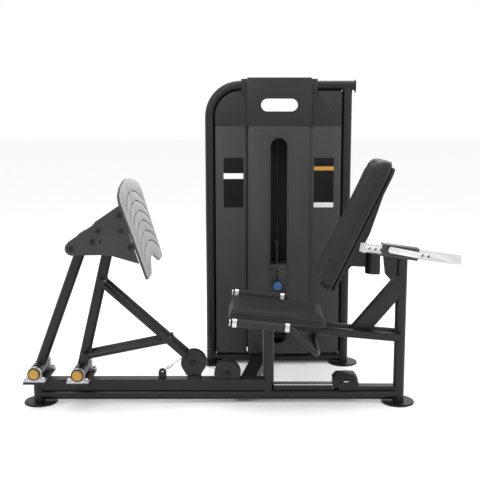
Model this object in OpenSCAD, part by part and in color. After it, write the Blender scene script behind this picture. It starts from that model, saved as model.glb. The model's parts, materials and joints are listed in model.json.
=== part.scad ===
// Seated leg press with a selectorised weight stack. Millimetres, +Z up,
// origin on the floor under the centre of the whole machine.
// X runs along the base from the foot plate to the seat end, Y from the
// user's side to the weight stack tower.

/* [Frame] */
// Outer diameter of the main frame tubes
tube_d = 50; // [46:1:52]
// Diameter of the floor discs
foot_d = 148; // [120:2:160]
// Height of the main rail axis above the floor
rail_z = 38; // [36:1:40]

/* [Tower] */
// Outer diameter of the tower tubes
tower_d = 48; // [44:1:50]
// Height of the top tube axis
tower_top = 1436; // [1400:2:1450]
// Centre line radius of the top left bend
bend_r = 156; // [120:2:180]
// Number of weight plates
plates = 20; // [12:1:20]
// Thickness of one weight plate
plate_t = 17; // [14:1:17]
// Plate that the selector pin sits in, counted from the top
pin_plate = 5; // [2:1:8]

/* [Foot plate] */
// Lean of the foot plate from vertical, in degrees
plate_lean = 17.6; // [16:0.2:19]
// Number of grip ribs rows
rib_rows = 6; // [3:1:6]

/* [Seat] */
// Slope of the seat, in degrees
seat_tilt = 5.6; // [5:0.1:6]
// Width of the seat cushion
seat_w = 310; // [280:5:330]
// Lean of the backrest from vertical, in degrees
back_lean = 25.5; // [24:0.5:27]
// Width of the backrest cushion
back_w = 310; // [280:5:330]

/* [Handles] */
// Half spacing of the two side grips
grip_y = 289; // [270:1:300]
// Diameter of the rubber grips
grip_d = 34; // [30:1:36]

/* [Hidden] */
$fn = 48;
ox = 48; oy = -241.5;
// pivots (x, z)
A0 = [-958, 164]; B0 = [-766, 158]; PC = [-733, 758]; PD = [-613, 790];
MP = [-258, 190];          // arm pulley centre
FP = [-105, 137];          // fixed pulley centre
TX = 139; TY = 598;        // tower centre line and tube plane
SY = 690;                  // weight stack centre
rr = tube_d/2; tr = tower_d/2;
plate_top = 491;           // top of the first weight plate
RA = 8;                    // slope of the slide rail in degrees
charcoal = [0.16,0.16,0.165]; dark = [0.1,0.1,0.1]; panel = [0.3,0.3,0.3];

module at() translate([ox, oy, 0]) children();
// cylinder along Y at x,z from y0 to y1
module cy(x, z, r, y0, y1) translate([x, y0, z]) rotate([-90,0,0]) cylinder(r=r, h=y1-y0);
// cylinder between two points in the XZ plane at depth y
module rod(a, b, y, r) { d = b-a; l = norm(d);
  translate([a[0], y, a[1]]) rotate([0, 90-atan2(d[1], d[0]), 0]) cylinder(r=r, h=l); }
// profile in X,Z extruded from y0 to y1
module slab(pts, y0, y1) translate([0, y1, 0]) rotate([90,0,0]) linear_extrude(y1-y0) polygon(pts);
// rounded bar outline between two points, as a 2D union
module bar2(a, b, r) { d=b-a; l=norm(d); translate(a) circle(r=r); translate(b) circle(r=r);
  translate(a) rotate(atan2(d[1],d[0])) translate([0,-r+0.05]) square([l, 2*r-0.1]); }
module boxc(x0,x1,y0,y1,z0,z1) translate([x0,y0,z0]) cube([x1-x0,y1-y0,z1-z0]);
module rbox(x,y,z,r) { // centred rounded block, corners rounded in its own XY plane
  linear_extrude(z, center=true) union(){ square([x-2*r,y],center=true); square([x,y-2*r],center=true);
   for(i=[-1,1],j=[-1,1]) translate([i*(x/2-r),j*(y/2-r)]) circle(r=r);} }

// ---------- base ----------
module base_rail() color(charcoal) at() difference(){
  translate([-963,0,rail_z]) rotate([0,90,0]) cylinder(r=rr,h=963+673);
  translate([-963,0,0]) cylinder(r=rr+0.1,h=100);
  translate([673,0,0]) cylinder(r=rr+0.1,h=100);
  boxc(-1000,-963,-40,40,0,100); boxc(673,700,-40,40,0,100); }
module base_beam() color(charcoal) at() difference(){
  boxc(-963,80,-rr,rr,rail_z+rr+0.3,114);
  boxc(-950,70,-rr+3,rr-3,rail_z+rr+3.3,111);
  boxc(-160,-50,-12,12,105,120);
  translate([-963,0,0]) cylinder(r=rr+0.1,h=200);
  boxc(-1000,-963,-40,40,0,200);
  translate([80,0,0]) cylinder(r=rr+0.1,h=200); }
module front_post() color(charcoal) at() translate([-963,0,8.2]) cylinder(r=rr,h=109.6);
module rear_post() color(charcoal) at() difference(){
  translate([673,0,8.2]) cylinder(r=rr,h=680);
  translate([673,0,666.4]) rotate([0,RA,0]) translate([-60,-60,0]) cube([120,120,60]); }
module seat_post() color(charcoal) at() difference(){
  translate([80,0,rail_z]) cylinder(r=rr,h=330);
  translate([0,0,rail_z]) rotate([0,90,0]) cylinder(r=rr+0.2,h=160);
  boxc(0,160,-50,50,0,rail_z); }
module pivot_plates() color(charcoal) at() {
  boxc(A0[0]-48,A0[0]+48,-112,112,118,126);
  boxc(B0[0]-48,B0[0]+48,-112,112,114.2,120); }
module foot_discs() color(dark) at() for(p=[[-957,0],[671,0],[TX-345,TY],[TX+345,TY]]) translate([p[0],p[1],0]) {
  cylinder(r=foot_d/2,h=5); translate([0,0,5]) cylinder(r=foot_d/2-2.5,h=3); }
module tower_link_beam() color(dark) at() difference(){
  translate([-41.5,0,14]) rotate([0,0,-9.4]) translate([-36,0,0]) cube([72,TY,46]);
  translate([-200,0,rail_z]) rotate([0,90,0]) cylinder(r=rr+0.2,h=400);
  boxc(-200,200,-30,5,0,100);
  translate([-200,TY,30]) rotate([0,90,0]) cylinder(r=20.2,h=600);
  boxc(-200,300,TY,TY+60,0,100); }
module channel_cover() color([0.85,0.86,0.87]) at() boxc(105.4,372,-22,22,86.2,89);
module cable_channel() color(dark) at() { difference(){ boxc(105.4,372,-22,22,63.4,86); boxc(100,380,-16,16,68,90); } difference(){ boxc(486,673,-22,22,63.4,80); translate([673,0,0]) cylinder(r=rr+0.1,h=200); boxc(482,640,-17,17,60,77); } }
module seat_rails() color(charcoal) at() for(s=[-1,1]) rod([-45,379.5],[667,314],s*45,19);
module rear_brace() color(charcoal) at() difference(){
  translate([470,-25,318]) rotate([0,-50.2,0]) translate([0,0,-36]) cube([330,50,72]);
  translate([673,0,0]) cylinder(r=rr+0.1,h=900);
  boxc(673,900,-60,60,0,900);
  boxc(300,800,-60,60,0,335); }
module slide_sleeve() color([0.25,0.25,0.26]) at() translate([660,0,696]) rotate([0,RA,0]) difference(){
  translate([-82,-27,-27]) cube([164,54,54]);
  translate([-90,-20.4,-20.4]) cube([180,40.8,40.8]);
  translate([20,-40,0]) rotate([-90,0,0]) cylinder(r=6.3,h=40); }
module sleeve_gusset() color(charcoal) at() difference(){
  slab([[590,678],[648.5,669],[648.5,600],[620,572],[600,594]],-20,20);
  translate([660,0,696]) rotate([0,RA,0]) translate([-90,-28,-27.2]) cube([180,56,60]);
  translate([470,-30,318]) rotate([0,-50.2,0]) translate([0,0,-36.2]) cube([330,60,72.4]);
  translate([673,0,0]) cylinder(r=rr+0.1,h=900); }

// ---------- bearings at the base ----------
module block(x,z,zb,y) difference(){
  union(){
    slab([[x-48,zb],[x+48,zb],[x+48,zb+9],[x+30,zb+15],[x-30,zb+15],[x-48,zb+9]],y-15,y+15);
    cy(x,z,29,y-13,y+13);
    boxc(x-29,x+29,y-13,y+13,zb+3,z); }
  cy(x,z,12.56,y-30,y+30);
  for(s=[-1,1]) translate([x+s*39,y,zb-5]) cylinder(r=5,h=40); }
module front_pillow_blocks() color([0.75,0.75,0.76]) at() for(s=[-1,1]) block(A0[0],A0[1],126.2,s*92);
module rear_pillow_blocks() color([0.75,0.75,0.76]) at() for(s=[-1,1]) block(B0[0],B0[1],120.2,s*92);
module bearing_caps() color([0.8,0.6,0.25]) at() for(p=[A0,B0],s=[-1,1]) {
  cy(p[0],p[1],23,s>0?105.3:-110,s>0?110:-105.3);
  cy(p[0],p[1],19,s>0?110:-112.5,s>0?112.5:-110); }
module cable_lug() color(charcoal) at() difference(){
  union(){ boxc(-418,-383,-6,6,114.2,141); cy(-400.5,141,17.5,-6,6); }
  cy(-400.5,143,4.5,-20,20); }
module rest_bumper() color(dark) at() translate([-255,0,114.2]) { cylinder(r=33,h=8); translate([0,0,8]) cylinder(r=29,h=7); }
module fixed_pulley_plates() color(charcoal) at() { difference(){
  for(s=[-1,1]) intersection(){ cy(FP[0],FP[1],60,s>0?16:-21,s>0?21:-16); boxc(FP[0]-60,FP[0]+60,-40,40,114.2,300); }
  cy(FP[0],FP[1],8.1,-60,60); }
  cy(FP[0],FP[1],8,-24,24);
  for(s=[-1,1]) cy(FP[0],FP[1],10,s>0?24:-29,s>0?29:-24); }
module wheel(x,z,r,w,b) difference(){
  translate([x,0,z]) rotate([90,0,0]) rotate_extrude($fn=64) polygon([[b,-w],[r,-w],[r,-w+2],[r-7,-2],[r-7,2],[r,w-2],[r,w],[b,w]]);
  for(a=[0:60:300]) translate([x,0,z]) rotate([0,a,0]) translate([r*0.55,0,0]) rotate([90,0,0]) cylinder(r=6,h=60,center=true,$fn=24); }
module fixed_pulley() color(dark) at() wheel(FP[0],FP[1],50,10,8.06);
module floor_pulley_cover() color([0.2,0.2,0.2]) at() {
  difference(){ translate([430,20,0]) union(){
     translate([0,0,63.6]) linear_extrude(50) union(){ square([92,90],center=true); square([112,70],center=true); for(i=[-1,1],j=[-1,1]) translate([i*46,j*35]) circle(r=10);}
     translate([0,0,113.6]) linear_extrude(12) square([96,74],center=true);
     translate([0,0,125.6]) linear_extrude(7) square([80,58],center=true); }
    boxc(370,490,-30,10,50,72); boxc(420,452,-28,85,60,104); }
  translate([432,20,132.7]) cylinder(r=23,h=3);
  boxc(398,488,-29,-25.4,63.6,102); }

// ---------- tower ----------
module tower_tube() color(charcoal) at() {
  translate([TX-345,TY,8.2]) cylinder(r=tr,h=tower_top-bend_r-8.2);
  translate([TX-345+bend_r,TY,tower_top-bend_r]) rotate([90,0,0]) rotate([0,0,90]) rotate_extrude(angle=90,$fn=64) translate([bend_r,0]) circle(r=tr,$fn=48);
  translate([TX-345+bend_r,TY,tower_top]) rotate([0,90,0]) cylinder(r=tr,h=520-(TX-345+bend_r)); }
module tower_right_tube() color(charcoal) at() difference(){
  translate([TX+345,TY,8.2]) cylinder(r=tr,h=tower_top-8.2);
  translate([TX,TY,tower_top]) rotate([0,90,0]) cylinder(r=tr+0.1,h=500);
  }
module tower_cross_tube() color(charcoal) at() difference(){
  translate([TX-345,TY,30]) rotate([0,90,0]) cylinder(r=20,h=690);
  for(s=[-1,1]) translate([TX+s*345,TY,0]) cylinder(r=tr+0.1,h=100);
  for(s=[-1,1]) translate([TX+s*370-25,TY-40,0]) cube([50,80,100]); }
module tower_end_cap() color(dark) at() translate([520.2,TY,tower_top-3]) rotate([0,90,0]) linear_extrude(5) union(){ square([36,tower_d],center=true); for(s=[-1,1]) translate([s*8,0]) circle(r=tr);}
TZ = 1235;   // joint between the upper and lower covers
module top_cover() color([0.22,0.22,0.22]) at() difference(){ union(){
  boxc(TX+4-190,TX+4+190,TY-31,TY+31,tower_top-30,tower_top+32);
  boxc(TX+4-160,TX+4+160,TY-46,TY+203,TZ+0.3,tower_top+38);
  boxc(TX-317,TX+317,TY-23,TY+203,TZ+0.3,tower_top-bend_r-4);
  boxc(TX-305+bend_r-20,TX+317,TY-23,TY+203,TZ+30,tower_top-tr-3);
  intersection(){ translate([TX-345+bend_r,TY-23,tower_top-bend_r]) rotate([-90,0,0]) cylinder(r=bend_r-tr-3,h=226,$fn=64); boxc(TX-340,TX,TY-24,TY+204,TZ+0.3,1500); } }
  // hollow inside, with the tube passing through
  boxc(TX+4-152,TX+4+152,TY-38,TY+197,TZ-5,tower_top+30);
  boxc(TX-311,TX+311,TY-17,TY+197,TZ-5,tower_top-bend_r-20);
  boxc(TX-160,TX+311,TY-17,TY+197,TZ-5,tower_top-tr-9);
  translate([TX-345+bend_r,TY-17,tower_top-bend_r]) rotate([-90,0,0]) cylinder(r=bend_r-tr-9,h=214,$fn=64);
  translate([TX-345+bend_r,TY,tower_top]) rotate([0,90,0]) cylinder(r=tr+0.3,h=700); }
module side_panels() color(panel) at() for(s=[-1,1]) translate([TX+s*238.5,0,0]) difference(){
  boxc(-78.5,78.5,TY-23,TY+40,61,TZ);
  boxc(-78.5-(s>0?2:-4),78.5+(s>0?-4:2),TY-18,TY+60,59,TZ+2);
  }
module centre_cover() color(panel) at() difference(){
  union(){ slab([[TX+4-159,61],[TX+4+159,61],[TX+4+159,TZ],[TX+4-159,TZ]],TY-26,TY-23.2);
    boxc(TX+4-150,TX+4+150,TY-46,TY-26,61,TZ); }
  boxc(TX+4-145,TX+4+145,TY-41,TY-10,71,TZ-5);
  translate([TX+3,TY-60,157]) rotate([-90,0,0]) cylinder(r=48,h=60);
  translate([TX+3,TY-60,1134]) rotate([-90,0,0]) cylinder(r=48,h=60);
  boxc(TX+3-48,TX+3+48,TY-60,TY-10,157,1134); }
module slot_trim() color(dark) at() difference(){
  union(){ cy(TX+3,157,47.8,TY-47.5,TY-24); cy(TX+3,1134,47.8,TY-47.5,TY-24); boxc(TX+3-47.8,TX+3+47.8,TY-47.5,TY-24,157,1134); }
  cy(TX+3,157,42,TY-50,TY-20); cy(TX+3,1134,42,TY-50,TY-20); boxc(TX+3-42,TX+3+42,TY-50,TY-20,157,1134); }
module rear_cover() color(panel) at() difference(){
  boxc(TX-317,TX+317,TY+42,TY+203,66,TZ);
  boxc(TX-312,TX+312,TY+35,TY+198,60,TZ+5); }
module placards() color([0.12,0.12,0.12]) at() { translate([TX+4,TY-46.1,1339]) rotate([90,0,0]) linear_extrude(2) bar2([-60,0],[60,0],31); for(x=[-87,370]) translate([x,TY-23.1,951]) rotate([90,0,0]) linear_extrude(1.2) union(){ square([92,252],center=true); square([100,244],center=true); for(i=[-1,1],j=[-1,1]) translate([i*46,j*122]) circle(r=4,$fn=24);} }
module guide_rods() color([0.8,0.8,0.82]) at() for(s=[-1,1]) translate([TX+s*105,SY,50]) cylinder(r=12.5,h=1330);
module stack_base() color(charcoal) at() { difference(){ boxc(TX-290,TX+290,SY-35,SY+35,66.5,96); for(s=[-1,1]) translate([TX+s*105,SY,0]) cylinder(r=12.6,h=200);
    boxc(TX-285,TX-135,SY-30,SY+30,60,91); boxc(TX+135,TX+285,SY-30,SY+30,60,91);}
  for(s=[-1,1]) difference(){ translate([TX+s*105,SY,96.2]) cylinder(r=28,h=plate_top-plates*plate_t-96.6); translate([TX+s*105,SY,0]) cylinder(r=12.6,h=300);} 
  for(s=[-1,1]) boxc(TX+s*296-3,TX+s*296+3,SY-30,SY+30,66.5,110); }
module wplate(i) difference(){ z = plate_top-(i+1)*plate_t;
  boxc(TX-150,TX+150,SY-60,SY+60,z+0.4,z+plate_t);
  for(s=[-1,1]) translate([TX+s*105,SY,z-1]) cylinder(r=13.5,h=plate_t+3);
  translate([TX,SY,z-1]) cylinder(r=14,h=plate_t+3);
  translate([TX,SY-70,z+plate_t/2]) rotate([-90,0,0]) cylinder(r=5.2,h=70); }
module lower_plates() color([0.3,0.3,0.3]) at() for(i=[pin_plate:plates-1]) wplate(i);
module upper_plates() color([0.3,0.3,0.3]) at() for(i=[0:pin_plate-1]) wplate(i);
module stack_head() color([0.28,0.28,0.28]) at() { difference(){ union(){
    boxc(TX-150,TX+150,SY-60,SY+60,plate_top+0.4,plate_top+26);
    for(s=[-1,1]) translate([TX+s*105,SY,plate_top+26]) cylinder(r=20,h=40); }
   for(s=[-1,1]) translate([TX+s*105,SY,plate_top-1]) cylinder(r=12.56,h=90);
   translate([TX,SY,plate_top-1]) cylinder(r=11,h=40); }
  translate([TX,SY,plate_top+26]) cylinder(r=7,h=94);
  translate([TX,SY,plate_top+120]) cylinder(r=13,h=24);
  difference(){ translate([TX,SY,plate_top-plates*plate_t+10]) cylinder(r=10.5,h=plates*plate_t+16);
   translate([TX,SY-30,plate_top-(pin_plate-0.5)*plate_t]) rotate([-90,0,0]) cylinder(r=4.9,h=60); } }
module selector_pin() color([0.1,0.4,0.75]) at() { z=plate_top-(pin_plate-0.5)*plate_t;
  translate([TX,SY-74,z]) rotate([-90,0,0]) cylinder(r=4.85,h=72);
  translate([TX,SY-110,z]) rotate([-90,0,0]) { cylinder(r=22,h=24); translate([0,0,24]) cylinder(r=13,h=12); } }
module top_pulley() color(dark) at() { translate([0,SY,0]) wheel(TX+46,1395,45,10,8.06); }
module top_bracket() color(charcoal) at() difference(){ union(){
   boxc(TX-140,TX+140,SY-24,SY+24,1366,1380);
   for(s=[-1,1]) boxc(TX+26,TX+66,s>0?SY+18:SY-24,s>0?SY+24:SY-18,1380,1425);
   boxc(TX-140,TX-100,TY+30,SY-24,1366,1380); boxc(TX+100,TX+140,TY+30,SY-24,1366,1380);
   for(s=[-1,1]) boxc(TX+s*120-20,TX+s*120+20,TY+24.6,TY+30,1366,1450);
   translate([TX+46,SY-24,1395]) rotate([-90,0,0]) cylinder(r=8,h=48); }
   for(s=[-1,1]) translate([TX+s*105,SY,1300]) cylinder(r=12.6,h=200);
   boxc(TX-6,TX+91,SY-11,SY+11,1300,1380.1); }
module stack_cable() color(dark) at() translate([TX,SY,plate_top+144.2]) cylinder(r=3,h=1393-plate_top-144.2,$fn=16);

// ---------- linkage ----------
module hub(p,r,b,y0,y1) difference(){ cy(p[0],p[1],r,y0,y1); cy(p[0],p[1],b,y0-1,y1+1); }
module front_link() color(charcoal) at() difference(){ union(){
   rod(A0,PC,0,rr-1); cy(A0[0],A0[1],30,-70,70); cy(PC[0],PC[1],31,-45,45); cy(A0[0],A0[1],12.5,-104.5,104.5); }
   cy(PC[0],PC[1],22.5,-60,60); }
module rear_link() color(charcoal) at() difference(){ union(){
   rod(B0,PD,0,rr-1); cy(B0[0],B0[1],30,-70,70); cy(B0[0],B0[1],12.5,-104.5,104.5); cy(PD[0],PD[1],31,-45,45);
   for(s=[-1,1]) { rod([-662,564],MP+[-34,38],s*37,15); rod([-744,224],[-352,304],s*37,14); }
   cy(-662,564,18,-55,55); cy(-744,224,18,-55,55); }
   cy(PD[0],PD[1],15.06,-60,60);
   for(s=[-1,1]) cy(MP[0],MP[1],58,s>0?15.8:-21.2,s>0?21.2:-15.8); 
   cy(MP[0],MP[1],57,-15.8,15.8); }
module arm_pulley_plates() color(charcoal) at() { difference(){
  for(s=[-1,1]) { y0=s>0?16:-21; y1=s>0?21:-16; cy(MP[0],MP[1],57,y0,y1);
    slab([[MP[0]-54,MP[1]-18],[MP[0]+54,MP[1]-18],[MP[0]+32,132],[MP[0]-32,132]],y0,y1);} 
  cy(MP[0],MP[1],8.1,-60,60); }
  cy(MP[0],MP[1],8,-24,24);
  for(s=[-1,1]) cy(MP[0],MP[1],10,s>0?24:-29,s>0?29:-24);
  boxc(MP[0]-31,MP[0]+31,-15.9,15.9,129.6,134); }
module arm_pulley() color(dark) at() wheel(MP[0],MP[1],48,10,8.06);
side_pts = [[-712,731],[-560,729],[-444,700],[-520,938],[-745,789]];
module carriage_sides() color([0.27,0.27,0.27]) at() for(s=[-1,1]) difference(){ y0=s>0?294:-300; y1=s>0?300:-294;
  union(){ slab([[-729,731],[-607,733],[-563,728],[-455.6,696.3],[-531,932.4],[-743,788]],y0,y1); cy(PC[0]+3,PC[1]+1,28.5,y0,y1);
   slab([[-733,731],[-700,731],[-700,790],[-746,786]],y0,y1); }
  cy(PC[0],PC[1],6.1,-400,400); cy(PD[0]+0,PD[1],6.1,-400,400);
  for(p=[[-646,787],[-620,833],[-527,833],[-532,895.5],[-491,765.7]]) cy(p[0],p[1],5,-400,400); }
module carriage_tubes() color(charcoal) at() { cy(PC[0],PC[1],19,-293.8,293.8); cy(PD[0],PD[1],15,-293.8,293.8);
  cy(-556,848,19,-293.8,293.8); for(s=[-1,1]) cy(-500,745,14,s>0?60:-293.8,s>0?293.8:-60); }
// foot plate outline in its own plane, u across and v up the slope
fp_out = [[-286,-300],[-279,-322],[-160,-322],[-105,-296],[-55,-273],[0,-267],[55,-273],[105,-296],[160,-322],[279,-322],[286,-300],
  [292,-220],[300,-110],[318,0],[314,20],[284,45],[205,67],[77,84],[0,88],[-77,84],[-205,67],[-284,45],[-314,20],[-318,0],[-300,-110],[-292,-220]];
module inplane() translate([-518,0,936]) rotate([0,-plate_lean,0]) rotate([0,90,0]) rotate([0,0,90]) children();
module arc_rib(v) { for(s=[-1,1]) intersection(){
    difference(){ translate([0,v-520]) circle(r=524.5,$fn=180); translate([0,v-520]) circle(r=518.5,$fn=180); }
    translate([s>0?22:-268,v-120]) square([246,140]); } }
module foot_plate() color([0.72,0.72,0.72]) at() inplane() difference(){
  translate([0,0,-12]) linear_extrude(12) polygon(fp_out);
  for(i=[0:rib_rows-1]) translate([0,0,-2.5]) linear_extrude(5) arc_rib(29-47*i); }
module carriage_bolts() color([0.1,0.1,0.1]) at() for(s=[-1,1]) {
  for(p=[PC,[-646,787],[-620,833],[-527,833],[-532,895.5],[-491,765.7]]) difference(){ cy(p[0],p[1],9.5,s>0?300.2:-306,s>0?306:-300.2); cy(p[0],p[1],4,s>0?302:-310,s>0?310:-302,$fn=6); } }

// ---------- seat ----------
module tilt_seat() translate([-98,0,447]) rotate([0,seat_tilt,0]) children();
module seat_pad() color([0.14,0.14,0.14]) at() tilt_seat() translate([215,0,0]) rbox(430,seat_w,56,26);
module seat_bracket() color(dark) at() difference(){ union(){
   tilt_seat() translate([215,0,-34]) cube([380,240,11],center=true);
   tilt_seat() for(x=[60,350]) translate([x,0,-46]) cube([60,130,14],center=true);
   slab([[232,362],[300,356],[300,300],[286,286],[262,300]],-20,20); }
   for(s=[-1,1]) rod([-60,380.9],[700,311],s*45,19.2);
   cy(280,307,13.2,-400,400);
   translate([80,0,0]) cylinder(r=rr+0.2,h=368.2); }
hb = 24; hr=12.5;
hP = [165,424.4];   // elbow of the handle tube
module half_handle() {
   rod([-84,447.5], hP+[4,-0.4], -grip_y, hr);
   rod(hP+[-3.5,3.6], [280,307], -grip_y, hr); }
module handle_tube() color(charcoal) at() { half_handle(); mirror([0,1,0]) half_handle();
   cy(280,307,hr+0.5,-grip_y-11,grip_y+11); }
module on_grip() for(s=[-1,1]) translate([-84,s*grip_y,447.5]) rotate([0,95.3,0]) children();
module hand_grips() color([0.08,0.08,0.08]) at() on_grip() difference(){ translate([0,0,26.5]) cylinder(r=grip_d/2,h=201); translate([0,0,-1]) cylinder(r=hr+0.05,h=300); }
module grip_collars() color([0.9,0.9,0.9]) at() on_grip() { for(z=[8,227.8]) translate([0,0,z]) difference(){ cylinder(r=20,h=18); translate([0,0,-1]) cylinder(r=hr+0.05,h=30); } 
   translate([0,0,-5]) cylinder(r=15,h=4.9); }

// ---------- backrest ----------
module on_rail() translate([660,0,696]) rotate([0,RA,0]) children();
module slide_rail() color([0.92,0.92,0.93]) at() on_rail() difference(){
  translate([-180,-20,-20]) cube([455,40,40]); translate([-190,-17,-17]) cube([460,34,34]);
  for(i=[0:10]) translate([-139+i*26.5,-30,0]) rotate([-90,0,0]) cylinder(r=7,h=60); }
module in_back() translate([352,0,612]) rotate([0,back_lean,0]) children();  // local z up the pad, x to the rear
module backrest_pad() color([0.15,0.15,0.15]) at() in_back() translate([-8,0,236]) rotate([0,90,0]) rbox(620,back_w,68,52);
module backrest_frame() color(charcoal) at() {
  in_back() translate([32.6,0,232]) rotate([0,90,0]) rbox(590,back_w-30,12,45);
  difference(){ in_back() slab([[39.2,-30],[39.2,430],[58,430],[84,225],[84,90],[52,-30]],-20,20);
    on_rail() translate([-181,-20.3,-20.3]) cube([300,40.6,40.6]); }
  difference(){ translate([550,0,600]) cylinder(r=41,h=96); on_rail() translate([-190,-60,-20.2]) cube([400,120,90]); boxc(571,620,-60,60,560,720); }
  difference(){ slab([[440,632],[509,629],[509,690],[470,700]],-12,12); on_rail() translate([-190,-60,-20.2]) cube([400,120,90]); in_back() translate([39.1-60,-60,-100]) cube([60,120,700]); } }
module adjust_lever() color([0.82,0.82,0.83]) at() on_rail() {
   cy(-44,8,13.5,-45.5,-36.5); cy(70,2,13.5,-45.5,-36.5);
   slab([[-44,-5.4],[70,-11.4],[70,15.4],[-44,21.4]],-45.5,-36.5);
   cy(20,0,6.2,-40,-20.6);
   }
module press_cable() color(dark) at() { rod([-384.5,154],[MP[0]-38,MP[1]+28],0,3,$fn=16);
   rod([-384.5,154],[-360,171.1],0,7,$fn=24); rod([MP[0]+42,MP[1]-20],[FP[0]-42,FP[1]+17],0,3,$fn=16); }

base_rail();
base_beam();
front_post();
rear_post();
seat_post();
pivot_plates();
foot_discs();
tower_link_beam();
cable_channel();
channel_cover();
top_bracket();
seat_rails();
rear_brace();
slide_sleeve();
sleeve_gusset();
front_pillow_blocks();
rear_pillow_blocks();
bearing_caps();
cable_lug();
rest_bumper();
fixed_pulley_plates();
fixed_pulley();
floor_pulley_cover();
tower_tube();
tower_right_tube();
tower_cross_tube();
tower_end_cap();
top_cover();
side_panels();
centre_cover();
rear_cover();
slot_trim();
placards();
guide_rods();
stack_base();
lower_plates();
top_pulley();
stack_head();
upper_plates();
selector_pin();
stack_cable();
front_link();
rear_link();
arm_pulley_plates();
arm_pulley();
carriage_sides();
carriage_tubes();
foot_plate();
carriage_bolts();
seat_pad();
seat_bracket();
handle_tube();
hand_grips();
grip_collars();
slide_rail();
backrest_frame();
backrest_pad();
adjust_lever();
press_cable();
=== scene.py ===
import bpy, bmesh, math, json, random
from mathutils import Vector, Matrix
from mathutils.bvhtree import BVHTree


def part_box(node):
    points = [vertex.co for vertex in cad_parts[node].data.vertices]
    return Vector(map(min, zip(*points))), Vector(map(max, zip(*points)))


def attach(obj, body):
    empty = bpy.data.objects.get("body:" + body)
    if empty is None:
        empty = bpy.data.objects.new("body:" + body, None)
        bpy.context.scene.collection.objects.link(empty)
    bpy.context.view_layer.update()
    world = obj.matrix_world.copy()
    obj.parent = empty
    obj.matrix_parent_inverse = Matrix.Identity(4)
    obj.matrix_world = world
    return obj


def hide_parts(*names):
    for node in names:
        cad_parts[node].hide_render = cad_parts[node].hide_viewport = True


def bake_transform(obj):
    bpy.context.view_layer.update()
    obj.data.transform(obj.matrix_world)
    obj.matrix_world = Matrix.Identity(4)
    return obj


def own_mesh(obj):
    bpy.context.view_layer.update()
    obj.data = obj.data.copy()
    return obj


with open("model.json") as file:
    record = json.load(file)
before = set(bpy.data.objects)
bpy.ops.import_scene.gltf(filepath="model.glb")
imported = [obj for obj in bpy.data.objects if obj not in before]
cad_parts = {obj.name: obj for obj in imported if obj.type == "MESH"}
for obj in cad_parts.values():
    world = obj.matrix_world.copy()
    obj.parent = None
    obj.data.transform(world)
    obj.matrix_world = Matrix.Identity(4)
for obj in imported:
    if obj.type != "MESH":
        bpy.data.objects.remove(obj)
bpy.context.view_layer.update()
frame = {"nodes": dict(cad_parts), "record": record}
N = frame["nodes"]
OX, OY = 0.048, -0.2415
def W(x, y, z): return Vector((x / 1000 + OX, y / 1000 + OY, z / 1000))
sc = bpy.context.scene

# ---------------- camera ----------------
cd = bpy.data.cameras.new("camera"); cam = bpy.data.objects.new("camera", cd); sc.collection.objects.link(cam)
cam.location = W(0, -3671.7, 1333.9); cam.rotation_euler = (math.pi / 2 - 0.1582, 0, 0)
cd.sensor_width = 36; cd.lens = 36 * 839.26 / 480; cd.shift_x = -10.68 / 480; cd.clip_end = 100
sc.camera = cam

# ---------------- materials ----------------
def newmat(name):
    m = bpy.data.materials.new(name); m.use_nodes = True
    nt = m.node_tree; b = nt.nodes["Principled BSDF"]
    tc = nt.nodes.new("ShaderNodeTexCoord")
    return m, nt, b, tc
def noise(nt, tc, scale, detail=3.0, rough=0.5):
    n = nt.nodes.new("ShaderNodeTexNoise"); n.inputs["Scale"].default_value = scale
    n.inputs["Detail"].default_value = detail; n.inputs["Roughness"].default_value = rough
    nt.links.new(tc.outputs["Object"], n.inputs["Vector"]); return n
def ramp(nt, src, a, b, lo=0.3, hi=0.7):
    r = nt.nodes.new("ShaderNodeMapRange"); r.inputs["From Min"].default_value = lo; r.inputs["From Max"].default_value = hi
    r.inputs["To Min"].default_value = a; r.inputs["To Max"].default_value = b
    nt.links.new(src, r.inputs["Value"]); return r.outputs["Result"]
def mixcol(nt, fac, c0, c1):
    m = nt.nodes.new("ShaderNodeMix"); m.data_type = 'RGBA'
    if hasattr(fac, "links"): nt.links.new(fac, m.inputs[0])
    else: m.inputs[0].default_value = fac
    for i, c in ((6, c0), (7, c1)):
        if hasattr(c, "links"): nt.links.new(c, m.inputs[i])
        else: m.inputs[i].default_value = (*c, 1)
    return m.outputs[2]
def math2(nt, op, a, b):
    m = nt.nodes.new("ShaderNodeMath"); m.operation = op
    for i, v in enumerate((a, b)):
        if hasattr(v, "links"): nt.links.new(v, m.inputs[i])
        else: m.inputs[i].default_value = v
    return m.outputs[0]
def bump(nt, b, h, strength, dist, prev=None):
    n = nt.nodes.new("ShaderNodeBump"); n.inputs["Strength"].default_value = strength; n.inputs["Distance"].default_value = dist
    nt.links.new(h, n.inputs["Height"])
    if prev: nt.links.new(prev, n.inputs["Normal"])
    nt.links.new(n.outputs["Normal"], b.inputs["Normal"]); return n.outputs["Normal"]
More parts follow.
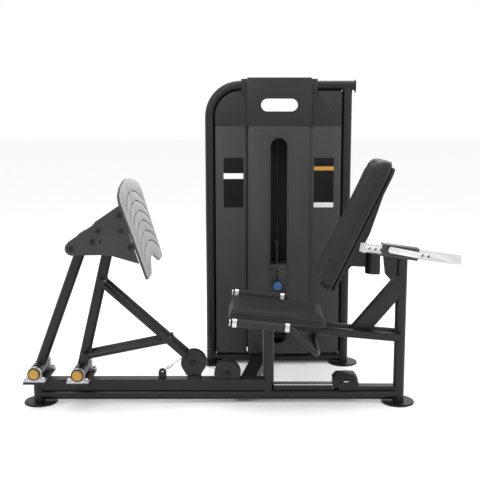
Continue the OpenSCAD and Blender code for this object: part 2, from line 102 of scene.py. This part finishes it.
def paint(name, col, rough=0.42, metal=0.0, spec=0.5, coat=0.0, grain=1500, gs=0.12, wear=0.12):
    m, nt, b, tc = newmat(name)
    big = noise(nt, tc, 5.0, 4); fine = noise(nt, tc, grain, 2); mid = noise(nt, tc, 60, 5, 0.6)
    c1 = tuple(min(1, c * (1 + wear)) for c in col); c0 = tuple(c * (1 - wear) for c in col)
    nt.links.new(mixcol(nt, ramp(nt, big.outputs[0], 0, 1), c0, c1), b.inputs["Base Color"])
    nt.links.new(ramp(nt, mid.outputs[0], rough - 0.05, rough + 0.06), b.inputs["Roughness"])
    b.inputs["Metallic"].default_value = metal; b.inputs["Specular IOR Level"].default_value = spec
    if coat: b.inputs["Coat Weight"].default_value = coat; b.inputs["Coat Roughness"].default_value = 0.25
    p = bump(nt, b, fine.outputs[0], gs, 0.00025)
    bump(nt, b, mid.outputs[0], 0.04, 0.0006, p)
    return m
def leather(name, col):
    m, nt, b, tc = newmat(name)
    v = nt.nodes.new("ShaderNodeTexVoronoi"); v.feature = 'SMOOTH_F1'; v.inputs["Scale"].default_value = 520
    nt.links.new(tc.outputs["Object"], v.inputs["Vector"])
    big = noise(nt, tc, 9, 4); mid = noise(nt, tc, 120, 4)
    nt.links.new(mixcol(nt, ramp(nt, big.outputs[0], 0, 1), tuple(c * 0.85 for c in col), tuple(c * 1.2 for c in col)), b.inputs["Base Color"])
    nt.links.new(ramp(nt, mid.outputs[0], 0.5, 0.62), b.inputs["Roughness"])
    b.inputs["Specular IOR Level"].default_value = 0.26
    b.inputs["Sheen Weight"].default_value = 0.03; b.inputs["Sheen Roughness"].default_value = 0.4
    p = bump(nt, b, v.outputs["Distance"], 0.22, 0.0006)
    bump(nt, b, mid.outputs[0], 0.06, 0.002, p)
    return m
def brushed(name, col, rough, stretch=(1, 1, 40), scale=90, metal=1.0, amp=0.08):
    m, nt, b, tc = newmat(name)
    mp = nt.nodes.new("ShaderNodeMapping"); mp.inputs["Scale"].default_value = stretch
    nt.links.new(tc.outputs["Object"], mp.inputs["Vector"])
    n = nt.nodes.new("ShaderNodeTexNoise"); n.inputs["Scale"].default_value = scale; n.inputs["Detail"].default_value = 4
    nt.links.new(mp.outputs["Vector"], n.inputs["Vector"])
    big = noise(nt, tc, 14, 4)
    nt.links.new(mixcol(nt, ramp(nt, big.outputs[0], 0, 1), tuple(c * 0.92 for c in col), col), b.inputs["Base Color"])
    nt.links.new(ramp(nt, n.outputs[0], max(0.02, rough - amp), rough + amp), b.inputs["Roughness"])
    b.inputs["Metallic"].default_value = metal
    bump(nt, b, n.outputs[0], 0.05, 0.0003)
    return m
charcoal = paint("frame_powdercoat", (0.0085, 0.0085, 0.009), 0.36, spec=0.28)
charcoal2 = paint("beam_powdercoat", (0.011, 0.011, 0.0115), 0.44, spec=0.25)
cover = paint("cover_paint", (0.034, 0.034, 0.035), 0.46, spec=0.25, wear=0.05)
# painted reflection: a darker copy of the cover paint that stands in for the dark horizon reflected across the tower's
# upper zone
cover_reflection_dark = paint("cover_paint_reflection_dark", (0.018, 0.018, 0.019), 0.44, spec=0.22, wear=0.05)
sideplate = paint("laser_plate_paint", (0.030, 0.030, 0.030), 0.52, spec=0.22)
black = paint("moulded_black", (0.005, 0.005, 0.005), 0.45, spec=0.3, grain=900)
rubber = paint("moulded_rubber", (0.011, 0.011, 0.011), 0.62, spec=0.35, grain=700, gs=0.3)
silver = paint("silver_casting", (0.42, 0.42, 0.43), 0.34, metal=0.65, grain=420, gs=0.35)
steelplate = paint("weight_steel", (0.075, 0.075, 0.077), 0.5, grain=500, gs=0.25)
blue = paint("blue_knob", (0.003, 0.085, 0.27), 0.34, grain=800, coat=0.3)
brass = brushed("zinc_yellow_cap", (0.40, 0.23, 0.05), 0.36, (1, 1, 1), 60, metal=0.75)
chrome = brushed("polished_chrome", (0.62, 0.62, 0.63), 0.14, (2, 2, 2), 40, amp=0.03)
chrome_rail = brushed("chromed_rail", (0.60, 0.60, 0.61), 0.28, (1, 20, 20), 60, amp=0.05)
lever_m = brushed("lever_alu", (0.66, 0.66, 0.67), 0.34, (1, 10, 10), 80, metal=0.9)
cover_strip = brushed("strip_alu", (0.70, 0.70, 0.71), 0.32, (1, 30, 30), 60, metal=0.9)
alu = paint("cast_foot_plate", (0.46, 0.46, 0.465), 0.42, metal=0.35, grain=650, gs=0.35, wear=0.06)
def foot_plate_mat():
    m, nt, b, tc = newmat("cast_foot_plate_grooved")
    lean = math.radians(17.6); n = Vector((math.cos(lean), 0, math.sin(lean))); p0 = W(-518, 0, 936)
    dot = nt.nodes.new("ShaderNodeVectorMath"); dot.operation = 'DOT_PRODUCT'
    nt.links.new(tc.outputs["Object"], dot.inputs[0]); dot.inputs[1].default_value = tuple(n)
    # painted shade: every point more than 1 mm below the plate's face plane (the groove floors and the plate's lower
    # edges) is coloured near-black
    groove_shade_mask = math2(nt, 'LESS_THAN', dot.outputs["Value"], p0.dot(n) - 0.0010)
    big = noise(nt, tc, 7.0, 4); fine = noise(nt, tc, 650, 2); mid = noise(nt, tc, 70, 5, 0.6)
    face = mixcol(nt, ramp(nt, big.outputs[0], 0, 1), (0.36, 0.36, 0.365), (0.44, 0.44, 0.445))
    # the painted groove shade replaces the cast face colour wherever the mask is set
    nt.links.new(mixcol(nt, groove_shade_mask, face, (0.035, 0.035, 0.036)), b.inputs["Base Color"])
    nt.links.new(ramp(nt, mid.outputs[0], 0.36, 0.5), b.inputs["Roughness"])
    b.inputs["Metallic"].default_value = 0.25
    pr = bump(nt, b, fine.outputs[0], 0.35, 0.0004); bump(nt, b, mid.outputs[0], 0.05, 0.001, pr)
    return m
pad_m = leather("upholstery", (0.022, 0.022, 0.023))
pad_side = leather("upholstery_side", (0.0075, 0.0075, 0.008))
cable_m = paint("coated_cable", (0.05, 0.05, 0.05), 0.35, grain=300)
bright_cable = brushed("wire_rope", (0.62, 0.62, 0.63), 0.3, (200, 200, 200), 8)
white_m = paint("blank_badge", (0.80, 0.80, 0.79), 0.35, grain=900, gs=0.05, wear=0.02)
slotdark = paint("slot_trim_black", (0.02, 0.02, 0.02), 0.4)

def placard_mat():
    m, nt, b, tc = newmat("blank_placards")
    sx = nt.nodes.new("ShaderNodeSeparateXYZ"); nt.links.new(tc.outputs["Object"], sx.inputs[0])
    X, Z = sx.outputs[0], sx.outputs[2]
    def between(v, lo, hi): return math2(nt, 'MULTIPLY', math2(nt, 'GREATER_THAN', v, lo), math2(nt, 'LESS_THAN', v, hi))
    left = math2(nt, 'LESS_THAN', X, 0.10 + OX); right = math2(nt, 'GREATER_THAN', X, 0.26 + OX)
    n = noise(nt, tc, 220, 3)
    base = mixcol(nt, ramp(nt, n.outputs[0], 0, 1), (0.004, 0.004, 0.004), (0.006, 0.006, 0.006))
    c = mixcol(nt, math2(nt, 'MULTIPLY', left, between(Z, 0.970, 0.998)), base, (0.80, 0.80, 0.80))
    c = mixcol(nt, math2(nt, 'MULTIPLY', right, between(Z, 1.013, 1.033)), c, (0.42, 0.21, 0.045))
    c = mixcol(nt, math2(nt, 'MULTIPLY', right, between(Z, 0.824, 0.850)), c, (0.62, 0.62, 0.61))
    c = mixcol(nt, between(Z, 1.20, 1.5), c, (0.82, 0.82, 0.81))
    nt.links.new(c, b.inputs["Base Color"])
    nt.links.new(ramp(nt, n.outputs[0], 0.40, 0.5), b.inputs["Roughness"])
    b.inputs["Specular IOR Level"].default_value = 0.12
    bump(nt, b, n.outputs[0], 0.03, 0.0003)
    return m
assign = {}
for n in N: assign[n] = charcoal
for n in "base_beam rear_brace sleeve_gusset pivot_plates fixed_pulley_plates arm_pulley_plates cable_lug".split(): assign[n] = charcoal2
for n in "foot_discs tower_end_cap fixed_pulley arm_pulley top_pulley seat_bracket tower_link_beam cable_channel carriage_bolts".split(): assign[n] = black
assign["slot_trim"] = slotdark
for n in "side_panels centre_cover rear_cover".split(): assign[n] = cover
# the top cover gets the darker painted-reflection copy of the cover paint
assign["top_cover"] = cover_reflection_dark; assign["floor_pulley_cover"] = black; assign["carriage_sides"] = sideplate
assign["front_pillow_blocks"] = assign["rear_pillow_blocks"] = silver; assign["bearing_caps"] = brass
assign["foot_plate"] = foot_plate_mat(); assign["channel_cover"] = cover_strip; assign["adjust_lever"] = lever_m
assign["guide_rods"] = chrome; assign["grip_collars"] = chrome; assign["slide_rail"] = chrome_rail
assign["slide_sleeve"] = paint("sleeve_paint", (0.020, 0.020, 0.021), 0.38)
for n in "lower_plates upper_plates stack_head".split(): assign[n] = steelplate
assign["hand_grips"] = rubber; assign["rest_bumper"] = rubber; assign["selector_pin"] = blue
assign["placards"] = placard_mat(); assign["stack_cable"] = cable_m; assign["press_cable"] = bright_cable
for n, m in assign.items():
    if n not in N: continue
    o = N[n]
    if not o.material_slots: o.data.materials.append(m)
    for s in o.material_slots: s.material = m

# ---------------- softened edges on the plate and sheet parts ----------------
BODY = {n: b for b, ns in frame["record"]["behaviour"]["bodies"].items() for n in ns}
def soften(node, width, seg=2):
    o = N[node]; before = [Vector(c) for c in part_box(node)]
    bm = bmesh.new(); bm.from_mesh(o.data); bm.transform(o.matrix_world)
    bmesh.ops.remove_doubles(bm, verts=bm.verts, dist=2e-5)
    bmesh.ops.dissolve_limit(bm, angle_limit=math.radians(0.6), verts=bm.verts, edges=bm.edges)
    if any(len(e.link_faces) != 2 for e in bm.edges): bm.free(); return None
    me = bpy.data.meshes.new(node + "_soft"); bm.to_mesh(me); bm.free()
    c = sc.collection.objects.link(bpy.data.objects.new(node + "_soft", me)) or bpy.data.objects[node + "_soft"]
    for s_ in o.material_slots: me.materials.append(s_.material)
    b = c.modifiers.new("bevel", 'BEVEL'); b.width = width; b.segments = seg; b.limit_method = 'ANGLE'; b.angle_limit = math.radians(35)
    b.use_clamp_overlap = True; b.miter_outer = 'MITER_ARC'
    dg = bpy.context.evaluated_depsgraph_get(); dg.update()
    new = bpy.data.meshes.new_from_object(c.evaluated_get(dg)); c.modifiers.clear(); c.data = new
    lo = Vector([min(v.co[i] for v in new.vertices) for i in range(3)]); hi = Vector([max(v.co[i] for v in new.vertices) for i in range(3)])
    if (lo - before[0]).length > 0.002 or (hi - before[1]).length > 0.002: bpy.data.objects.remove(c); return None
    new.shade_smooth() if hasattr(new, "shade_smooth") else None
    new.set_sharp_from_angle(angle=math.radians(32))
    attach(c, BODY[node]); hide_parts(node); return c
kept = []
for node, wd in (("centre_cover", 0.0022), ("top_cover", 0.0035), ("side_panels", 0.0018), ("rear_cover", 0.0018), ("slide_sleeve", 0.0020), ("base_beam", 0.0020), ("rear_brace", 0.0025),
                 ("carriage_sides", 0.0012), ("foot_plate", 0.0009), ("front_pillow_blocks", 0.0016), ("rear_pillow_blocks", 0.0016), ("floor_pulley_cover", 0.0022), ("lower_plates", 0.0016),
                 ("upper_plates", 0.0016), ("stack_head", 0.0016), ("adjust_lever", 0.0015), ("slide_rail", 0.0016), ("placards", 0.0004), ("tower_link_beam", 0.0020), ("fixed_pulley_plates", 0.0008), ("arm_pulley_plates", 0.0008)):
    kept.append((node, soften(node, wd) is not None))
print("softened", kept)

# ---------------- helpers ----------------
def link(o):
    sc.collection.objects.link(o); return o
def meshobj(name, bm, mat, smooth=True):
    me = bpy.data.meshes.new(name); bm.normal_update(); bm.to_mesh(me); bm.free()
    for p in me.polygons: p.use_smooth = smooth
    o = link(bpy.data.objects.new(name, me)); o.data.materials.append(mat); return o
def apply_mods(o):
    dg = bpy.context.evaluated_depsgraph_get(); dg.update()
    me = bpy.data.meshes.new_from_object(o.evaluated_get(dg)); o.modifiers.clear(); o.data = me
def axis_matrix(p, d):
    q = Vector(d).normalized().to_track_quat('Z', 'Y'); return Matrix.Translation(p) @ q.to_matrix().to_4x4()
def lathe(bm, prof, M, seg=24, phase=0.0):
    rings = []
    for r, z in prof:
        if r < 1e-6: rings.append([bm.verts.new(M @ Vector((0, 0, z)))])
        else: rings.append([bm.verts.new(M @ Vector((r * math.cos(2 * math.pi * i / seg + phase), r * math.sin(2 * math.pi * i / seg + phase), z))) for i in range(seg)])
    for a, b in zip(rings, rings[1:]):
        for i in range(seg):
            j = (i + 1) % seg
            if len(a) == 1 and len(b) > 1: bm.faces.new((a[0], b[j], b[i]))
            elif len(b) == 1 and len(a) > 1: bm.faces.new((a[i], a[j], b[0]))
            elif len(a) > 1: bm.faces.new((a[i], a[j], b[j], b[i]))
def hexbolt(bm, p, d, af=0.013, h=0.006, washer=True):
    M = axis_matrix(p, d)
    if washer: lathe(bm, [(0, 0), (af * 0.85, 0), (af * 0.85, 0.0012), (af * 0.8, 0.0016), (0, 0.0016)], M, 24)
    M2 = M @ Matrix.Translation((0, 0, 0.0015))
    lathe(bm, [(0, 0), (af * 0.577, 0), (af * 0.577, h * 0.8), (af * 0.5, h), (0, h)], M2, 6)

# ---------------- cushions ----------------
def roundrect(hx, hy, r, n=8):
    pts = []
    for cx, cy, a0 in ((hx - r, hy - r, 0), (-hx + r, hy - r, 90), (-hx + r, -hy + r, 180), (hx - r, -hy + r, 270)):
        for i in range(n + 1):
            a = math.radians(a0 + 90 * i / n); pts.append((cx + r * math.cos(a), cy + r * math.sin(a)))
    return pts
def pad_piece(name, M, sx, sy, sz, rc, edge, cap, body, node, mat, seam_z, back=0.0):
    """A closed pad in its own frame: x along its length, y across, z out of its face."""
    bm = bmesh.new(); rings = []
    inset = 0.004
    steps = [(-sz / 2 + inset, edge * 0.35), (-sz / 2 + inset + edge * 0.25, 0.0)]
    steps += [(sz / 2 - inset - edge, 0.0)]
    for k in range(1, 7):
        a = math.radians(90 * k / 6); steps.append((sz / 2 - inset - edge + edge * math.sin(a), edge * (1 - math.cos(a))))
    for z, off in steps:
        pr = roundrect(sx / 2 - inset - off, sy / 2 - inset - off, max(0.006, rc - off))
        rings.append([bm.verts.new((x, y, z)) for x, y in pr])
    n = len(rings[0])
    for a, b in zip(rings, rings[1:]):
        for i in range(n): bm.faces.new((a[i], a[(i + 1) % n], b[(i + 1) % n], b[i]))
    bm.faces.new(list(reversed(rings[0]))); bm.faces.new(rings[-1])
    bmesh.ops.transform(bm, matrix=M, verts=bm.verts)
    o = meshobj(name, bm, mat)
    r = o.modifiers.new("remesh", 'REMESH'); r.mode = 'VOXEL'; r.voxel_size = 0.006; r.use_smooth_shade = True
    apply_mods(o)
    rest = [v.co.copy() for v in o.data.vertices]
    inv = M.inverted()
    vg = o.vertex_groups.new(name="pin")
    groove_shade_mask = [i for i, v in enumerate(rest) if (inv @ v).z < -sz / 2 + 0.010]
    vg.add(groove_shade_mask, 1.0, 'REPLACE')
    c = o.modifiers.new("cloth", 'CLOTH'); s = c.settings
    s.use_pressure = True; s.uniform_pressure_force = 4.0; s.effector_weights.gravity = 0.0
    s.vertex_group_mass = "pin"; s.tension_stiffness = 20; s.bending_stiffness = 0.6; s.mass = 0.3; s.quality = 5
    c.collision_settings.use_collision = False; c.point_cache.frame_start = 1; c.point_cache.frame_end = 20
    for f in range(1, 21): sc.frame_set(f)
    dg = bpy.context.evaluated_depsgraph_get()
    ev = o.evaluated_get(dg).to_mesh(); moved = [v.co.copy() for v in ev.vertices]
    o.modifiers.clear(); sc.frame_set(1)
    for i, v in enumerate(o.data.vertices):
        d = moved[i] - rest[i]
        if d.length > cap: d = d.normalized() * cap
        v.co = rest[i] + d
    sm = o.modifiers.new("smooth", 'SMOOTH'); sm.factor = 0.5; sm.iterations = 4
    ss = o.modifiers.new("sub", 'SUBSURF'); ss.levels = ss.render_levels = 1
    apply_mods(o)
    for p in o.data.polygons: p.use_smooth = True
    if not o.data.materials: o.data.materials.append(mat)
    # sewn piping that follows the real surface
    bvh = BVHTree.FromPolygons([v.co for v in o.data.vertices], [list(p.vertices) for p in o.data.polygons])
    out = []
    for z, rad in seam_z:
        pts = []
        for x, y in roundrect(sx / 2 + 0.01, sy / 2 + 0.01, rc, 10):
            loc, nor, idx, dist = bvh.find_nearest(M @ Vector((x, y, z)))
            if loc is not None: pts.append(loc + nor * rad * 0.35)
        dense = []
        for i, p in enumerate(pts):
            q = pts[(i + 1) % len(pts)]; k = max(1, int((q - p).length / 0.012))
            for t in range(k):
                loc, nor, idx, dist = bvh.find_nearest(p.lerp(q, t / k)); dense.append(loc + nor * rad * 0.35)
        bm = bmesh.new(); rings = []
        m = len(dense)
        for i, p in enumerate(dense):
            t = (dense[(i + 1) % m] - dense[i - 1]).normalized(); u = t.orthogonal().normalized()
            up = (M.to_3x3() @ Vector((0, 0, 1))).normalized(); u = (up - t * up.dot(t)).normalized(); w = t.cross(u)
            rings.append([bm.verts.new(p + u * rad * math.cos(a * math.pi / 4) + w * rad * math.sin(a * math.pi / 4)) for a in range(8)])
        for i in range(m):
            a, b = rings[i], rings[(i + 1) % m]
            for k in range(8): bm.faces.new((a[k], a[(k + 1) % 8], b[(k + 1) % 8], b[k]))
        bmesh.ops.recalc_face_normals(bm, faces=bm.faces)
        s = meshobj(f"{name}_piping_{len(out)}", bm, piping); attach(s, body); out.append(s)
    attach(o, body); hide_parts(node)
    return o
piping = paint("piping_vinyl", (0.012, 0.012, 0.012), 0.5, grain=700)
a = math.radians(5.6)
Ms = Matrix.Translation(W(-98, 0, 447)) @ Matrix.Rotation(a, 4, 'Y') @ Matrix.Translation((0.215, 0, 0))
pad_piece("seat_cushion", Ms, 0.430, 0.310, 0.056, 0.030, 0.014, 0.007, "frame", "seat_pad", pad_side, [(-0.018, 0.0022), (0.014, 0.0016)])
b_ = math.radians(25.5)
# pad frame: x up the pad, z out of the face (towards -X)
Mb = (Matrix.Translation(W(352, 0, 612)) @ Matrix.Rotation(b_, 4, 'Y') @ Matrix.Translation((-0.008, 0, 0.236)) @ Matrix.Rotation(-math.pi / 2, 4, 'Y'))
pad_piece("back_cushion", Mb, 0.620, 0.310, 0.068, 0.055, 0.022, 0.008, "backrest", "backrest_pad", pad_side, [(-0.022, 0.0024)])

# ---------------- bent tubes and cables ----------------
def fillet(pts, radii, n=10):
    out = [pts[0]]
    for i in range(1, len(pts) - 1):
        p, a, c = pts[i], (pts[i - 1] - pts[i]).normalized(), (pts[i + 1] - pts[i]).normalized()
        ang = a.angle(c); r = radii[i - 1]; t = r / math.tan(ang / 2)
        s0, s1 = p + a * t, p + c * t
        ctr = p + (a + c).normalized() * (r / math.sin(ang / 2))
        v0, v1 = s0 - ctr, s1 - ctr; ax = v0.cross(v1).normalized(); full = v0.angle(v1)
        for k in range(n + 1):
            out.append(ctr + Matrix.Rotation(full * k / n, 3, ax) @ v0)
    out.append(pts[-1]); return out
def dense(pts, step):
    out = []
    for a, b in zip(pts, pts[1:]):
        k = max(1, int(math.ceil((b - a).length / step)))
        out += [a.lerp(b, i / k) for i in range(k)]
    return out + [pts[-1]]
def sweep(bm, pts, r, seg=24, twist=None):
    rings = []; u = None
    for i, p in enumerate(pts):
        t = (pts[min(i + 1, len(pts) - 1)] - pts[max(i - 1, 0)]).normalized()
        u = t.orthogonal().normalized() if u is None else (u - t * u.dot(t)).normalized()
        w = t.cross(u); ring = []
        for k in range(seg):
            a = 2 * math.pi * k / seg; rr = r
            if twist: rr = r * (1 + 0.10 * abs(math.cos(3 * (a + i * twist))))
            ring.append(bm.verts.new(p + u * rr * math.cos(a) + w * rr * math.sin(a)))
        rings.append(ring)
    for a, b in zip(rings, rings[1:]):
        for k in range(seg): bm.faces.new((a[k], a[(k + 1) % seg], b[(k + 1) % seg], b[k]))
    bm.faces.new(list(reversed(rings[0]))); bm.faces.new(rings[-1])
gy = 289
hp = [W(-84, -gy, 447.5), W(165, -gy, 424.4), W(280, -gy, 307), W(280, gy, 307), W(165, gy, 424.4), W(-84, gy, 447.5)]
bm = bmesh.new(); sweep(bm, fillet(hp, [0.060, 0.034, 0.034, 0.060], 12), 0.0124, 32)
o = meshobj("handle_bar", bm, charcoal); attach(o, "frame"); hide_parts("handle_tube")
# the cable on the press arm: two runs that follow the arm
bm = bmesh.new(); a0, a1 = W(-398, 0, 145), W(-300, 0, 216)
sweep(bm, dense([a0, a1], 0.004), 0.0030, 10, twist=0.35)
d01 = (a1 - a0).normalized()
lathe(bm, [(0, 0), (0.0062, 0), (0.0070, 0.001), (0.0070, 0.026), (0.0050, 0.030), (0, 0.030)], axis_matrix(a0 + d01 * 0.0215, d01), 20)
o = meshobj("arm_cable_lower", bm, bright_cable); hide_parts("press_cable"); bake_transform(o)
bm = bmesh.new(); b0, b1 = W(-147, 0, 154), W(-216, 0, 170)
sweep(bm, dense([b0, b1], 0.004), 0.0030, 10, twist=0.35)
o = meshobj("arm_cable_upper", bm, bright_cable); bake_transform(o)
# the stack's own cable: one straight run between two fixed heights
zb, zt = 0.6354, 1.393
bm = bmesh.new(); sweep(bm, dense([W(139, 690, zb * 1000), W(139, 690, zt * 1000)], 0.006), 0.0030, 12, twist=0.4)
o = meshobj("lifting_cable", bm, cable_m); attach(o, "frame"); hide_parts("stack_cable")
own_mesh(o)

# rubber edge seal between the covers and the tower tubes
bm = bmesh.new(); ty = 604
ep = [W(139 - 319, ty, 57), W(139 - 319, ty, 1410.4), W(139 + 319, ty, 1410.4), W(139 + 319, ty, 57)]
sweep(bm, fillet(ep, [0.1300, 0.010], 24), 0.0034, 12)
sweep(bm, [W(139 - 318, 592, 55.6), W(139 + 318, 592, 55.6)], 0.0062, 12)
o = meshobj("cover_edge_seal", bm, rubber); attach(o, "frame")

# ---------------- small real fasteners ----------------
bm = bmesh.new()
for px, pz in ((-958, 164), (-766, 158)):
    for sy in (-1, 1):
        M = axis_matrix(W(px, sy * 105.4, pz), (0, sy, 0))
        lathe(bm, [(0.0232, 0), (0.0285, 0), (0.0292, 0.0010), (0.0285, 0.0032), (0.0260, 0.0042), (0.0236, 0.0034), (0.0232, 0)], M, 40)
o = meshobj("bearing_seal_rings", bm, rubber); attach(o, "frame")
bm = bmesh.new()
for px, pz in ((-958, 141), (-766, 135)):
    for sy in (-92, 92):
        for sx in (-39, 39): hexbolt(bm, W(px + sx, sy, (126.2 if px < -900 else 120.2) + 12), (0, 0, 1), 0.013, 0.007)
o = meshobj("base_hex_bolts", bm, chrome, smooth=False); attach(o, "frame")
bm = bmesh.new()
for s_ in (-1, 1): hexbolt(bm, W(-105, s_ * 29, 137), (0, s_, 0), 0.013, 0.005)
o = meshobj("fixed_pulley_bolts", bm, black, smooth=False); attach(o, "frame")
bm = bmesh.new()
for s in (-1, 1): hexbolt(bm, W(-258, s * 29, 190), (0, s, 0), 0.013, 0.005)
o = meshobj("arm_pulley_bolts", bm, black, smooth=False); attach(o, "rear_arm")

# ---------------- floor and light ----------------
bm = bmesh.new(); bmesh.ops.create_grid(bm, x_segments=2, y_segments=2, size=30)
fl = meshobj("floor", bm, paint("floor_paper", (0.955, 0.955, 0.955), 0.9, spec=0.1, grain=60, gs=0.02, wear=0.01))
fl.location.z = -0.0005
sc.view_settings.view_transform = "Standard"
w = bpy.data.worlds.new("world"); sc.world = w; w.use_nodes = True
w.node_tree.nodes["Background"].inputs[0].default_value = (1, 1, 1, 1); w.node_tree.nodes["Background"].inputs[1].default_value = 1.0
def area(name, loc, size, energy, target=(0, 0, 0.6)):
    l = bpy.data.lights.new(name, 'AREA'); l.energy = energy; l.size = size; ob = link(bpy.data.objects.new(name, l))
    ob.location = loc; ob.rotation_euler = (Vector(target) - Vector(loc)).to_track_quat('-Z', 'Y').to_euler(); return ob
area("key", (-2.2, -3.2, 3.4), 2.2, 75)
area("fill", (2.6, -2.6, 2.2), 2.4, 30)
area("top", (0, 0.2, 4.2), 3.0, 60)
area("back", (0.5, 3.5, 3.0), 2.5, 50)
